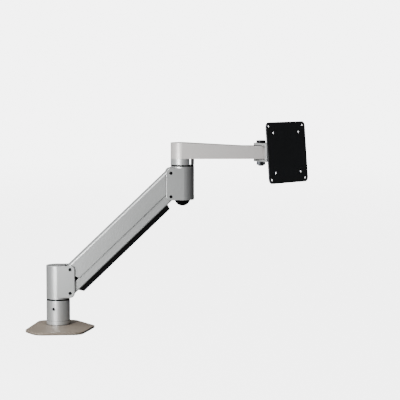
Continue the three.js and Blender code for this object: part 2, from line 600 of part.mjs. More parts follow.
// Head: a yoke that pans on the forearm's end, a block that tilts in it and a plate that turns on the block.
function buildHead(forearmGroup) {
  const { barBottom, endTop, reach } = FOREARM;
  const yokeGroup = subgroup(forearmGroup, reach, 0, 0);
  yokeGroup.rotation.z = HEAD_PAN;
  const { plate, washer, half, back, wallAt, wall, ears, earWall } = YOKE;
  const low = barBottom - washer - 0.2;
  const high = endTop + washer + 0.2;
  const middle = (low + high) / 2;
  const lugOutline = new THREE.Shape();
  lugOutline.moveTo(wallAt + wall, -half);
  lugOutline.lineTo(wallAt + wall, half);
  lugOutline.absarc(0, 0, -back, Math.PI / 2, 1.5 * Math.PI);
  const earOutline = new THREE.Shape();
  earOutline.moveTo(wallAt, middle - TILT.radius);
  earOutline.absarc(TILT.forward, middle, TILT.radius, -Math.PI / 2, Math.PI / 2);
  earOutline.lineTo(wallAt, middle + TILT.radius);
  const yoke = cut(
    join(
      alongZ(lugOutline, low - plate, low, 14),
      alongZ(lugOutline, high, high + plate, 14),
      box(wallAt, wallAt + wall, -half, half, low - plate, high + plate),
      alongY(earOutline, ears, ears + earWall, 12),
      alongY(earOutline, -ears - earWall, -ears, 12),
    ),
    rodZ(PAN.hole, low - plate - 1, high + plate + 1, 24),
    rodY(TILT.screw + 0.15, -30, 30, TILT.forward, middle),
  );
  place(yokeGroup, 'head_yoke', yoke, silverPaint);
  for (const [name, z0, z1] of [['upper', endTop + 0.1, high - 0.1], ['lower', low + 0.1, barBottom - 0.1]]) {
    const ring = rodZ(14, z0, z1, 24).subtract(rodZ(PAN.hole, z0 - 1, z1 + 1, 24));
    place(yokeGroup, `pan_washer_${name}`, ring, blackPlastic);
  }
  const span = high + plate - (low - plate);
  const panBolt = capScrew(PAN.radius, span + 9, PAN.headRadius, 5, 4).translate([0, 0, high + plate]);
  place(yokeGroup, 'pan_bolt', panBolt, blackSteel);
  const nut = rodZ(PAN.headRadius, low - plate - 7, low - plate, 6).subtract(rodZ(PAN.hole, -20, 20, 24));
  place(yokeGroup, 'pan_nut', nut, zincSteel);

  const tiltWasher = { inner: ears - 1.1, outer: ears - 0.1 };
  for (const [name, side] of [['left', 1], ['right', -1]]) {
    const turn = side > 0 ? -90 : 90;
    const screw = capScrew(TILT.screw, ears + earWall - TILT.screwInner, 7, 4, 3).rotate([turn, 0, 0]);
    place(yokeGroup, `tilt_screw_${name}`, screw.translate([TILT.forward, side * (ears + earWall), middle]), blackSteel);
    const ring = rodZ(9, tiltWasher.inner, tiltWasher.outer, 20).subtract(rodZ(TILT.screw + 0.2, 0, 30, SMALL_ROUND));
    place(yokeGroup, `tilt_washer_${name}`, ring.rotate([turn, 0, 0]).translate([TILT.forward, 0, middle]), blackPlastic);
  }

  const tiltGroup = subgroup(yokeGroup, TILT.forward, 0, middle);
  tiltGroup.rotation.y = -HEAD_TILT;
  const blockHalf = tiltWasher.inner - 0.1;
  const nutPocket = -TILT.radius + 6;
  const blockOutline = new THREE.Shape();
  blockOutline.absarc(0, 0, TILT.radius - 0.5, Math.PI / 2, 1.5 * Math.PI);
  blockOutline.lineTo(TILT.plateGap - 2.2, -TILT.radius + 0.5);
  blockOutline.lineTo(TILT.plateGap - 2.2, TILT.radius - 0.5);
  const block = cut(
    alongY(blockOutline, -blockHalf, blockHalf, 12),
    rodY(TILT.screw + 0.15, TILT.screwInner - 0.4, 20, 0, 0),
    rodY(TILT.screw + 0.15, -20, -TILT.screwInner + 0.4, 0, 0),
    rodX(4.2, -20, 30, 0, 0),
    rodX(6.9, -20, nutPocket, 0, 0),
  );
  place(tiltGroup, 'tilt_block', block, silverPaint);
  const washerRing = rodX(10, TILT.plateGap - 2, TILT.plateGap - GAP, 0, 0, 20).subtract(rodX(4.2, 0, 30, 0, 0));
  place(tiltGroup, 'roll_washer', washerRing, blackPlastic);
  const spindle = join(rodX(4, -9, TILT.plateGap - 0.1, 0, 0), rodX(7, TILT.plateGap - 0.25, TILT.plateGap - 0.05, 0, 0));
  place(tiltGroup, 'roll_spindle', spindle, zincSteel);
  const rollNut = rodX(6.5, -9.6, nutPocket - 0.2, 0, 0, 6).subtract(rodX(4.2, -20, 0, 0, 0));
  place(tiltGroup, 'roll_nut', rollNut, zincSteel);

  let vesa = alongX(roundedRectangle(-VESA.half, VESA.half, -VESA.half, VESA.half, VESA.corner), TILT.plateGap, TILT.plateGap + VESA.thickness);
  for (const pattern of VESA.patterns) {
    for (const sy of [-1, 1]) {
      for (const sz of [-1, 1]) {
        vesa = vesa.subtract(rodX(VESA.hole, 0, 40, (sy * pattern) / 2, (sz * pattern) / 2, 10));
      }
    }
  }
  place(tiltGroup, 'vesa_plate', vesa, blackSteel);
}

const monitorArm = new THREE.Group();
buildBase(monitorArm);
buildLowerKnuckle(monitorArm);
buildUpperLink(monitorArm);
buildLowerLink(monitorArm);
buildGasSpring(monitorArm);
buildUpperKnuckle(monitorArm);
buildHead(buildForearm(monitorArm));

export default monitorArm;
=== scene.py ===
"""Looks for a desk monitor arm: a swivel base, a gas-sprung parallelogram, a forearm and a panning head."""

import json
import logging
import math
from dataclasses import dataclass
from enum import Enum
from typing import Callable, Sequence

import bmesh
import bpy
from mathutils import Matrix, Vector


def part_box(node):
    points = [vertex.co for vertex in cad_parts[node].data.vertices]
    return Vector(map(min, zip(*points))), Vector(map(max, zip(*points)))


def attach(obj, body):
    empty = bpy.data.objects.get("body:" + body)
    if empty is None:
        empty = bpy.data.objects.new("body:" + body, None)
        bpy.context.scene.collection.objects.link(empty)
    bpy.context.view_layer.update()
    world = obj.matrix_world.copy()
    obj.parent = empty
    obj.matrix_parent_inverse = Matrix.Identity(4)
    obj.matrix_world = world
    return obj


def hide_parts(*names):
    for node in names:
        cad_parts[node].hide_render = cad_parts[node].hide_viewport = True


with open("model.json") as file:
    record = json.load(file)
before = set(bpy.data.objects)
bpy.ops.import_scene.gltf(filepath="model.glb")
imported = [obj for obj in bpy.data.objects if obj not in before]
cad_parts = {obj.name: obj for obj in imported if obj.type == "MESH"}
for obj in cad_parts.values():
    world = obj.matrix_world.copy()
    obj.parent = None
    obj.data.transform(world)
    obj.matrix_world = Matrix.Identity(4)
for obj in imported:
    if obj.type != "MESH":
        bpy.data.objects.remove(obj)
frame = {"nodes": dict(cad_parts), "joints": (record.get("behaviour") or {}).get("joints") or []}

MM = 0.001
# Half length, in mm, of a tool that cuts right through a piece.
THROUGH = 30
LOG = logging.getLogger("monitor_arm")
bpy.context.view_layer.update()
JOINTS = {joint["name"]: joint for joint in frame["joints"]}

Point = tuple[float, float]
Place = tuple[float, float, float]
Piece = bpy.types.Object


# Places: each sub-assembly is built in its own frame, in metres, then set down in the row's frame.


def joint_point(name: str) -> Vector:
    """Give a joint's position in metres."""
    return Vector(JOINTS[name]["pos_m"])


def frame_at(origin: Vector, forward: Vector, side: Vector = Vector((0, 1, 0))) -> Matrix:
    """Make a local frame.

    Args:
        origin: Where the local origin sits.
        forward: The direction of local X.
        side: The rough direction of local Y.

    Returns:
        A matrix that takes local coordinates to the row's frame.
    """
    x_axis = forward.normalized()
    z_axis = x_axis.cross(side).normalized()
    y_axis = z_axis.cross(x_axis)
    matrix = Matrix((x_axis, y_axis, z_axis)).transposed().to_4x4()
    matrix.translation = origin
    return matrix


def shift(x: float, y: float, z: float) -> Matrix:
    """Make a matrix that moves by the given distances in mm."""
    return Matrix.Translation((x * MM, y * MM, z * MM))


def turn(degrees: float, axis: str) -> Matrix:
    """Make a matrix that turns about a local axis."""
    return Matrix.Rotation(math.radians(degrees), 4, axis)


def level(vector: Vector) -> Vector:
    """Drop a vector's height."""
    return Vector((vector.x, vector.y, 0))


# Outlines, in millimetres.


def arc(center: Point, radius: float, start: float, end: float, steps: int = 12) -> list[Point]:
    """List points on an arc.

    Args:
        center: The arc's centre.
        radius: Its radius.
        start: Its first angle in degrees.
        end: Its last angle in degrees.
        steps: How many chords it has.

    Returns:
        The points, both ends included.
    """
    points = []
    for i in range(steps + 1):
        angle = math.radians(start + (end - start) * i / steps)
        points.append((center[0] + radius * math.cos(angle), center[1] + radius * math.sin(angle)))
    return points


def rounded_box(x0: float, x1: float, y0: float, y1: float, radius: float, steps: int = 8) -> list[Point]:
    """List the outline of a rectangle with round corners.

    Args:
        x0: Left side.
        x1: Right side.
        y0: Lower side.
        y1: Upper side.
        radius: Corner radius.
        steps: Chords in each corner.

    Returns:
        The outline, counterclockwise.
    """
    corners = (
        (x1 - radius, y0 + radius, -90),
        (x1 - radius, y1 - radius, 0),
        (x0 + radius, y1 - radius, 90),
        (x0 + radius, y0 + radius, 180),
    )
    points: list[Point] = []
    for x, y, start in corners:
        points += arc((x, y), radius, start, start + 90, steps)
    return points


# Meshes.


class Axis(Enum):
    """The direction in which an outline is drawn out."""

    X = "x"
    Y = "y"
    Z = "z"


def place_point(axis: Axis, a: float, b: float, along: float) -> Vector:
    """Put an outline point into space, in metres.

    Args:
        axis: The direction of the extrusion.
        a: The outline's first coordinate, in mm.
        b: The outline's second coordinate, in mm.
        along: The place along the axis, in mm.

    Returns:
        The point.
    """
    if axis is Axis.X:
        return Vector((along, a, b)) * MM
    if axis is Axis.Y:
        return Vector((a, along, b)) * MM
    return Vector((a, b, along)) * MM


def to_object(bm: bmesh.types.BMesh, name: str) -> Piece:
    """Turn a bmesh into an object with its faces pointing out.

    Args:
        bm: The mesh; it is freed.
        name: The object's name.

    Returns:
        The new object.
    """
    bmesh.ops.remove_doubles(bm, verts=bm.verts, dist=1e-7)
    bmesh.ops.recalc_face_normals(bm, faces=bm.faces)
    mesh = bpy.data.meshes.new(name)
    bm.to_mesh(mesh)
    bm.free()
    piece = bpy.data.objects.new(name, mesh)
    bpy.context.scene.collection.objects.link(piece)
    return piece


def extrusion(name: str, outline: Sequence[Point], axis: Axis, start: float, end: float) -> Piece:
    """Draw an outline out along an axis.

    Args:
        name: The object's name.
        outline: The outline, in mm.
        axis: The direction.
        start: Where it starts, in mm.
        end: Where it ends, in mm.

    Returns:
        A closed solid.
    """
    bm = bmesh.new()
    near = [bm.verts.new(place_point(axis, a, b, start)) for a, b in outline]
    far = [bm.verts.new(place_point(axis, a, b, end)) for a, b in outline]
    count = len(outline)
    bm.faces.new(near)
    bm.faces.new(far)
    for i in range(count):
        j = (i + 1) % count
        bm.faces.new((near[i], near[j], far[j], far[i]))
    return to_object(bm, name)


def lathe(name: str, profile: Sequence[Point], segments: int = 96) -> Piece:
    """Turn a profile about Z.

    Args:
        name: The object's name.
        profile: Points (radius, height) in mm, from axis to axis or closed on itself.
        segments: How many steps it turns in.

    Returns:
        A closed solid.
    """
    bm = bmesh.new()
    closed = profile[0][0] > 0
    rings = []
    for radius, height in profile:
        if radius == 0:
            rings.append([bm.verts.new((0, 0, height * MM))])
            continue
        ring = []
        for i in range(segments):
            angle = 2 * math.pi * i / segments
            point = Vector((radius * math.cos(angle), radius * math.sin(angle), height)) * MM
            ring.append(bm.verts.new(point))
        rings.append(ring)
    pairs = list(zip(rings, rings[1:]))
    if closed:
        pairs.append((rings[-1], rings[0]))
    for low, high in pairs:
        for i in range(segments):
            j = (i + 1) % segments
            if len(low) == 1 and len(high) == 1:
                continue
            if len(low) == 1:
                bm.faces.new((low[0], high[j], high[i]))
            elif len(high) == 1:
                bm.faces.new((low[i], low[j], high[0]))
            else:
                bm.faces.new((low[i], low[j], high[j], high[i]))
    return to_object(bm, name)


def rod(
    radius: float, start: float, end: float, axis: Axis = Axis.Z, at: Point = (0, 0), segments: int = 48
) -> Piece:
    """Make a plain cutting rod between two ends on an axis, at a place across it, in mm."""
    outline = arc(at, radius, 0, 360 - 360 / segments, segments - 1)
    return extrusion("tool", outline, axis, start, end)


def block(x0: float, x1: float, y0: float, y1: float, z0: float, z1: float) -> Piece:
    """Make a plain cutting block with the given sides in mm."""
    return extrusion("tool", [(x0, y0), (x1, y0), (x1, y1), (x0, y1)], Axis.Z, z0, z1)


def bake_modifiers(piece: Piece) -> None:
    """Apply all modifiers of a piece to its mesh.

    Args:
        piece: The object to bake.
    """
    graph = bpy.context.evaluated_depsgraph_get()
    mesh = bpy.data.meshes.new_from_object(piece.evaluated_get(graph))
    old = piece.data
    piece.modifiers.clear()
    piece.data = mesh
    bpy.data.meshes.remove(old)


class Join(Enum):
    """How a boolean combines two solids."""

    ADD = "UNION"
    CUT = "DIFFERENCE"
    KEEP = "INTERSECT"


def combine(piece: Piece, how: Join, *tools: Piece) -> Piece:
    """Join, cut or trim a piece with tools, which are used up.

    Args:
        piece: The solid that changes.
        how: The operation.
        tools: The other solids.

    Returns:
        The piece.
    """
    for tool in tools:
        modifier = piece.modifiers.new("boolean", "BOOLEAN")
        modifier.operation = how.value
        modifier.solver = "EXACT"
        modifier.object = tool
        bake_modifiers(piece)
        mesh = tool.data
        bpy.data.objects.remove(tool)
        bpy.data.meshes.remove(mesh)
    return piece


def round_edges(piece: Piece, width: float, segments: int, sharp_angle: float = 32) -> None:
    """Round the sharp edges of a piece.

    Args:
        piece: The object.
        width: The rounding in mm.
        segments: How many steps round an edge.
        sharp_angle: Edges sharper than this many degrees are rounded.
    """
    modifier = piece.modifiers.new("rounding", "BEVEL")
    modifier.width = width * MM
    modifier.segments = segments
    modifier.limit_method = "ANGLE"
    modifier.angle_limit = math.radians(sharp_angle)
    modifier.use_clamp_overlap = True
    bake_modifiers(piece)


def soften(
    piece: Piece, width: float, segments: int = 3, sharp_angle: float = 32
) -> Piece:
    """Round the sharp edges of a piece and shade its curves smoothly.

    Args:
        piece: The object.
        width: The rounding in mm; none if it is 0.
        segments: How many steps round an edge.
        sharp_angle: Edges sharper than this many degrees are rounded.

    Returns:
        The piece.
    """
    if width > 0:
        round_edges(piece, width, segments, sharp_angle)
    shade(piece, 40)
    normals = piece.modifiers.new("flat faces", "WEIGHTED_NORMAL")
    normals.keep_sharp = True
    normals.weight = 100
    return piece


def shade(piece: Piece, angle: float) -> None:
    """Shade a mesh smooth, with a sharp line at edges over the angle in degrees."""
    piece.data.shade_smooth()
    piece.data.set_sharp_from_angle(angle=math.radians(angle))


# Nodes and finishes.


def linear(color: str, alpha: float = 1.0) -> tuple[float, float, float, float]:
    """Turn an sRGB hex colour to linear values.

    Args:
        color: Such as "#b4b6b6".
        alpha: The fourth value.

    Returns:
        Red, green, blue and alpha.
    """
    values = []
    for i in (1, 3, 5):
        part = int(color[i : i + 2], 16) / 255
        values.append(part / 12.92 if part <= 0.04045 else ((part + 0.055) / 1.055) ** 2.4)
    return (values[0], values[1], values[2], alpha)


def add_node(tree: bpy.types.NodeTree, kind: str, settings: dict, links: dict) -> bpy.types.Node:
    """Add a node with its settings and links.

    Args:
        tree: The node tree.
        kind: The node's type.
        settings: Attribute names, or input names and numbers, and their values.
        links: Input names and numbers, and the sockets that feed them.

    Returns:
        The node.
    """
    node = tree.nodes.new(kind)
    for key, value in settings.items():
        if isinstance(key, str) and hasattr(node, key):
            setattr(node, key, value)
        else:
            node.inputs[key].default_value = value
    for key, socket in links.items():
        tree.links.new(socket, node.inputs[key])
    return node


# Metal flakes are finer than this; they are drawn as coarse as they need to be to show.
FLAKE_MM = 0.7
CLOUDS_PER_METRE = 22.0
GRAIN_DEPTH_MM = 0.2


@dataclass(frozen=True)
class Finish:
    """A surface: a base colour with a fine texture, drawn by noise at a real scale.

    Attributes:
        name: The material and its process.
        slot: The record's material slot; not used.
        color: Base colour.
        tone: Second colour that the cloudy variation leans to.
        metallic: 0 for paint and plastic, near 1 for bare metal.
        roughness: Middle roughness.
        grain_mm: Size of the surface grain.
        bump: Depth of the grain, from 0 to 1.
        wear: Colour shown on rubbed edges.
        wear_amount: How much of the edges is rubbed.
        ior: Index of refraction.
        coat: Clear coat weight.
        flake: How strongly metal flakes vary the tone.
        stretch: How much longer the grain is along local Z of the object.
        shine: Strength of the plain reflection; a fine texture breaks it up.
        seam_shade: How much painted shade darkens the colour in seams and inside corners, where shadow falls.
        seam_shade_mm: How far from a seam the painted shade reaches.
    """

    name: str
    slot: str
    color: str
    tone: str
    metallic: float
    roughness: float
    grain_mm: float
    bump: float
    wear: str
    wear_amount: float = 0.2
    ior: float = 1.5
    coat: float = 0.0
    flake: float = 0.0
    stretch: float = 1.0
    shine: float = 0.5
    seam_shade: float = 0.0
    seam_shade_mm: float = 3.6

    def build(self) -> bpy.types.Material:
        """Make the material, or give the one already made."""
        known = bpy.data.materials.get(self.name)
        if known is not None:
            return known
        material = bpy.data.materials.new(self.name)
        material.use_nodes = True
        tree = material.node_tree
        tree.nodes.clear()
        place = add_node(tree, "ShaderNodeTexCoord", {}, {})
        scaled = add_node(
            tree, "ShaderNodeMapping", {"Scale": (1, 1, 1 / self.stretch)},
            {"Vector": place.outputs["Object"]},
        )
        grain = add_node(
            tree,
            "ShaderNodeTexNoise",
            {"Scale": 1 / (self.grain_mm * MM), "Detail": 3.0, "Roughness": 0.6},
            {"Vector": scaled.outputs["Vector"]},
        )
        clouds = add_node(
            tree, "ShaderNodeTexNoise", {"Scale": CLOUDS_PER_METRE, "Detail": 2.0},
            {"Vector": place.outputs["Object"]},
        )
        cloudy = add_node(
            tree, "ShaderNodeMix", {"data_type": "RGBA", 6: linear(self.color), 7: linear(self.tone)},
            {0: clouds.outputs["Fac"]},
        )
        flakes = add_node(
            tree, "ShaderNodeTexVoronoi", {"Scale": 1 / (FLAKE_MM * MM)},
            {"Vector": place.outputs["Object"]},
        )
        flake_range = add_node(
            tree, "ShaderNodeMapRange", {"To Min": 1 - self.flake, "To Max": 1 + self.flake},
            {"Value": flakes.outputs["Color"]},
        )
        flaked = add_node(
            tree, "ShaderNodeMix", {"data_type": "RGBA", "blend_type": "MULTIPLY", 0: 1.0},
            {6: cloudy.outputs[2], 7: flake_range.outputs[0]},
        )
        geometry = add_node(tree, "ShaderNodeNewGeometry", {}, {})
        edges = add_node(
            tree,
            "ShaderNodeMapRange",
            {"From Min": 0.53, "From Max": 0.62, "To Min": 0.0, "To Max": self.wear_amount},
            {"Value": geometry.outputs["Pointiness"]},
        )
        worn = add_node(
            tree, "ShaderNodeMath", {"operation": "MULTIPLY"},
            {0: edges.outputs[0], 1: grain.outputs["Fac"]},
        )
        # Painted shade: ambient occlusion darkens the colour in seams and inside corners, standing in for the
        # shadow that falls there.
        open_air = add_node(
            tree, "ShaderNodeAmbientOcclusion", {"samples": 8, "Distance": self.seam_shade_mm * MM}, {}
        )
        crease_shade = add_node(
            tree,
            "ShaderNodeMapRange",
            {"From Min": 0.45, "From Max": 0.9, "To Min": 1 - self.seam_shade, "To Max": 1.0},
            {"Value": open_air.outputs["AO"]},
        )
        crease_shaded = add_node(
            tree, "ShaderNodeMix", {"data_type": "RGBA", "blend_type": "MULTIPLY", 0: 1.0},
            {6: flaked.outputs[2], 7: crease_shade.outputs[0]},
        )
        color = add_node(
            tree, "ShaderNodeMix", {"data_type": "RGBA", 7: linear(self.wear)},
            {0: worn.outputs[0], 6: crease_shaded.outputs[2]},
        )
        rough = add_node(
            tree, "ShaderNodeMapRange", {"To Min": self.roughness - 0.05, "To Max": self.roughness + 0.06},
            {"Value": clouds.outputs["Fac"]},
        )
        bump = add_node(
            tree, "ShaderNodeBump", {"Strength": self.bump, "Distance": GRAIN_DEPTH_MM * MM},
            {"Height": grain.outputs["Fac"]},
        )
        shader = add_node(
            tree,
            "ShaderNodeBsdfPrincipled",
            {
                "Metallic": self.metallic,
                "IOR": self.ior,
                "Specular IOR Level": self.shine,
                "Coat Weight": self.coat,
                "Coat Roughness": 0.12,
            },
            {"Base Color": color.outputs[2], "Roughness": rough.outputs[0], "Normal": bump.outputs["Normal"]},
        )
        add_node(tree, "ShaderNodeOutputMaterial", {}, {"Surface": shader.outputs["BSDF"]})
        return material


# Satin silver powder coat over cast aluminium: a metallic glow under a fine orange peel, with strong painted
# shade darkening its seams and inside corners.
SILVER = Finish(
    "silver_powder_coat_sprayed", "silver_paint", "#cfd1d0", "#c5c7c6", 0.78, 0.4, 0.9, 0.16, "#dcdcda",
    flake=0.05, seam_shade=0.85,
)
# The same coat on the forearm with a warmer tint; its lighter colour is painted light, a lit copy of the
# silver that brightens the beam, with a little painted seam shade.
SILVER_LIT_WARM = Finish(
    "warm_silver_powder_coat_painted_lighter", "silver_paint", "#e2dedb", "#dad6d3", 0.5, 0.46, 0.9, 0.14, "#e9e6e4",
    flake=0.05, seam_shade=0.3,
)
# Bronze-grey stoved paint on rolled steel: satin, warmer and darker than the arm; its warm tone is partly the
# paint's own colour and partly a painted reflection of a warm room, and painted shade darkens it near the
# tube that stands on it.
FOOT_PAINT = Finish(
    "bronze_grey_stoved_paint_and_painted_reflection", "plate_paint", "#998c7d", "#857b70", 0.1, 0.5, 1.1, 0.14, "#b5aa9c",
    flake=0.06, seam_shade=0.5, seam_shade_mm=14,
)
# Glass-filled nylon, moulded: deep black with a fine spark texture that greys the highlights.
NYLON = Finish(
    "black_nylon_moulded", "black_plastic", "#030304", "#060607", 0.0, 0.34, 0.5, 0.2, "#1a1b1c", 0.05,
    ior=1.53, shine=0.12,
)
# ABS, moulded: light grey with a dull satin skin.
GREY_ABS = Finish(
    "grey_abs_moulded", "grey_plastic", "#a9aaa8", "#a1a2a0", 0.0, 0.45, 0.5, 0.18, "#c8c9c8", ior=1.54
)
# Black oxide on cap screws and pins: near black, oily and slightly blue.
BLACK_OXIDE = Finish(
    "steel_black_oxide", "black_steel", "#17181a", "#1f2022", 0.85, 0.38, 0.4, 0.15, "#6c6d70", 0.35
)
# Zinc-plated steel: pale blue-grey, with faint cloudy patches.
ZINC = Finish("steel_zinc_plated", "zinc_steel", "#a9adb2", "#9a9fa6", 1.0, 0.3, 0.6, 0.12, "#d8dadd")
# Ground and hard-chromed rod: bright, with fine rings from the grinding wheel.
CHROME = Finish(
    "steel_hard_chrome_ground", "chrome_steel", "#d3d5d8", "#cacdd1", 1.0, 0.12, 0.25, 0.06, "#e8e9ea",
    stretch=0.2,
)
# Gloss black enamel on the gas cylinder: a wet coat with sharp highlights.
ENAMEL = Finish(
    "black_enamel_sprayed", "spring_paint", "#0c0d0f", "#111214", 0.0, 0.25, 1.2, 0.08, "#3c3d40", coat=0.6
)
# Black powder coat on pressed steel: a matt skin with a sandy grain.
BLACK_COAT = Finish(
    "black_powder_coat_sprayed", "black_steel", "#303133", "#38393b", 0.1, 0.5, 0.8, 0.35, "#5a5b5c"
)
# Nitrile rubber sheet: dull and charcoal.
RUBBER = Finish(
    "nitrile_rubber_sheet", "rubber", "#1b1b1b", "#232323", 0.0, 0.8, 0.7, 0.3, "#3b3b3b", ior=1.52
)


def dress(piece: Piece, finish: Finish) -> None:
    """Give a piece one material."""
    piece.data.materials.clear()
    piece.data.materials.append(finish.build())


def set_down(piece: Piece, name: str, place: Matrix, body: str, finish: Finish, *nodes: str) -> None:
    """Put a finished piece in place of CAD nodes.

    Args:
        piece: The object, built in its local frame.
        name: Its final name.
        place: The local frame.
        body: The CAD body that it rides on.
        finish: Its finish.
        nodes: The CAD nodes that it stands for.
    """
    piece.name = name
    piece.data.name = name
    piece.data.transform(place)
    dress(piece, finish)
    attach(piece, body)
    if nodes:
        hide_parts(*nodes)
    LOG.info("piece %s on %s", name, body)


def keep_node(node: str, finish: Finish, rounding: float = 0.0) -> None:
    """Show a CAD node as it is, with a better finish.

    Args:
        node: The node's name.
        finish: Its finish.
        rounding: Rounding of its edges in mm.
    """
    piece = frame["nodes"][node]
    dress(piece, finish)
    weld = piece.modifiers.new("weld", "WELD")
    weld.merge_threshold = 1e-6
    if rounding > 0:
        bevel = piece.modifiers.new("rounding", "BEVEL")
        bevel.width = rounding * MM
        bevel.segments = 2
        bevel.limit_method = "ANGLE"
        bevel.angle_limit = math.radians(40)
    shade(piece, 35)
    LOG.info("kept node %s", node)


# Fasteners.


@dataclass(frozen=True)
class CapScrew:
    """A socket cap screw along local Z with its head's underside at zero.

    Attributes:
        radius: Shank radius.
        length: Shank length.
        head_radius: Head radius.
        head: Head height.
        socket: Key size from flat to centre.
    """

    radius: float
    length: float
    head_radius: float
    head: float
    socket: float

    def build(self) -> Piece:
        """Make the screw with a rounded head, a key socket and a chamfered tip."""
        rim = 0.6
        profile = [
            (0, -self.length),
            (self.radius - 0.5, -self.length),
            (self.radius, -self.length + 0.5),
            (self.radius, 0),
            (self.head_radius - 0.15, 0),
            (self.head_radius, 0.15),
        ]
        profile += arc((self.head_radius - rim, self.head - rim), rim, 0, 90, 4)
        profile.append((0, self.head))
        screw = lathe("screw", profile, 48)
        socket = rod(self.socket, self.head * 0.4, self.head + 1, segments=6)
        return soften(combine(screw, Join.CUT, socket), 0.12, 2)


# Studio.


@dataclass
class Studio:
    """The camera, the floor and the soft lights.

    Attributes:
        camera_at: Camera position in metres.
        turn: Degrees that the view is turned to the right of +Y.
        pitch: Degrees that it looks down.
        lens: Focal length in mm on a 36 mm frame.
        backdrop: Brightness of the plain backdrop behind the floor.
        floor_lift: How much the floor glows, so that it reads as white paper.
    """

    camera_at: Place = (0.0647, -2.894, 0.4806)
    turn: float = 4.09
    pitch: float = 4.72
    lens: float = 136.9
    backdrop: float = 6.0
    floor_lift: float = 5.0

    def build_camera(self) -> None:
        """Add the camera."""
        camera = bpy.data.cameras.new("camera")
        camera.lens = self.lens
        camera.sensor_width = 36
        camera.clip_end = 100
        holder = bpy.data.objects.new("camera", camera)
        holder.location = self.camera_at
        holder.rotation_euler = (math.radians(90 - self.pitch), 0, math.radians(-self.turn))
        bpy.context.scene.collection.objects.link(holder)
        bpy.context.scene.camera = holder

    def build_floor(self) -> None:
        """Add the pale floor, which fades out far from the arm."""
        radius, gap = 9000, 0.2
        outline = arc((0, 0), radius, 0, 355, 71)
        bm = bmesh.new()
        bm.faces.new([bm.verts.new((x * MM, y * MM, -gap * MM)) for x, y in outline])
        floor = to_object(bm, "studio_floor")
        material = bpy.data.materials.new("studio_paper")
        material.use_nodes = True
        tree = material.node_tree
        tree.nodes.clear()
        place = add_node(tree, "ShaderNodeTexCoord", {}, {})
        far = add_node(tree, "ShaderNodeVectorMath", {"operation": "LENGTH"}, {0: place.outputs["Object"]})
        fade = add_node(
            tree,
            "ShaderNodeMapRange",
            {"From Min": 1.2, "From Max": 6.0, "interpolation_type": "SMOOTHSTEP"},
            {"Value": far.outputs["Value"]},
        )
        paper = add_node(tree, "ShaderNodeBsdfDiffuse", {"Color": linear("#747474")}, {})
        clear = add_node(tree, "ShaderNodeBsdfTransparent", {}, {})
        path = add_node(tree, "ShaderNodeLightPath", {}, {})
        lift = add_node(
            tree, "ShaderNodeMath", {"operation": "MULTIPLY", 1: self.floor_lift},
            {0: path.outputs["Is Camera Ray"]},
        )
        glow = add_node(
            tree, "ShaderNodeEmission", {"Color": linear("#fbfbfb")}, {"Strength": lift.outputs[0]}
        )
        lit = add_node(tree, "ShaderNodeAddShader", {}, {0: paper.outputs[0], 1: glow.outputs[0]})
        mix = add_node(
            tree, "ShaderNodeMixShader", {}, {0: fade.outputs[0], 1: lit.outputs[0], 2: clear.outputs[0]}
        )
        add_node(tree, "ShaderNodeOutputMaterial", {}, {"Surface": mix.outputs[0]})
        floor.data.materials.append(material)

    def build_world(self) -> None:
        """Light the room: bright on the left, dark on the right and behind, plain to the camera."""
        world = bpy.data.worlds.new("studio")
        bpy.context.scene.world = world
        world.use_nodes = True
        tree = world.node_tree
        tree.nodes.clear()
        place = add_node(tree, "ShaderNodeTexCoord", {}, {})
        towards = add_node(
            tree, "ShaderNodeVectorMath", {"operation": "DOT_PRODUCT", 1: (-0.75, -0.25, 0.1)},
            {0: place.outputs["Generated"]},
        )
        side = add_node(
            tree,
            "ShaderNodeMapRange",
            {"From Min": -0.35, "From Max": 0.75, "To Min": 0.01, "To Max": 1.0},
            {"Value": towards.outputs["Value"]},
        )
        room = add_node(
            tree, "ShaderNodeBackground", {"Color": linear("#f2f3f5")}, {"Strength": side.outputs[0]}
        )
        plain = add_node(
            tree, "ShaderNodeBackground", {"Color": linear("#fbfbfb"), "Strength": self.backdrop}, {}
        )
        path = add_node(tree, "ShaderNodeLightPath", {}, {})
        mix = add_node(
            tree, "ShaderNodeMixShader", {},
            {0: path.outputs["Is Camera Ray"], 1: room.outputs[0], 2: plain.outputs[0]},
        )
        add_node(tree, "ShaderNodeOutputWorld", {}, {"Surface": mix.outputs[0]})

    def add_light(self, name: str, at: Place, target: Place, size: float, power: float) -> None:
        """Add a soft light.

        Args:
            name: Its name.
            at: Its position in metres.
            target: The point that it faces.
            size: Its side in metres.
            power: Its power in watts.
        """
        light = bpy.data.lights.new(name, "AREA")
        light.size = size
        light.energy = power
        holder = bpy.data.objects.new(name, light)
        holder.location = at
        holder.rotation_euler = (Vector(target) - Vector(at)).to_track_quat("-Z", "Y").to_euler()
        bpy.context.scene.collection.objects.link(holder)

    def build(self) -> None:
        """Build the whole studio."""
        self.build_camera()
        self.build_floor()
        self.build_world()
        aim = (0.18, 0, 0.18)
        self.add_light("key_light", (-0.95, -1.55, 2.1), aim, 0.35, 38)
        self.add_light("top_light", (-0.6, 0.1, 1.8), aim, 1.0, 7)
        self.add_light("near_light", (-0.4, -0.74, 0.22), (0.05, 0, 0.12), 0.3, 8.0)


# Sub-assemblies.


@dataclass(frozen=True)
class Corner:
    """A corner of the foot plate.

    Attributes:
        x: Its place across, in mm.
        y: Its place along, in mm.
        radius: How round it is.
    """

    x: float
    y: float
    radius: float


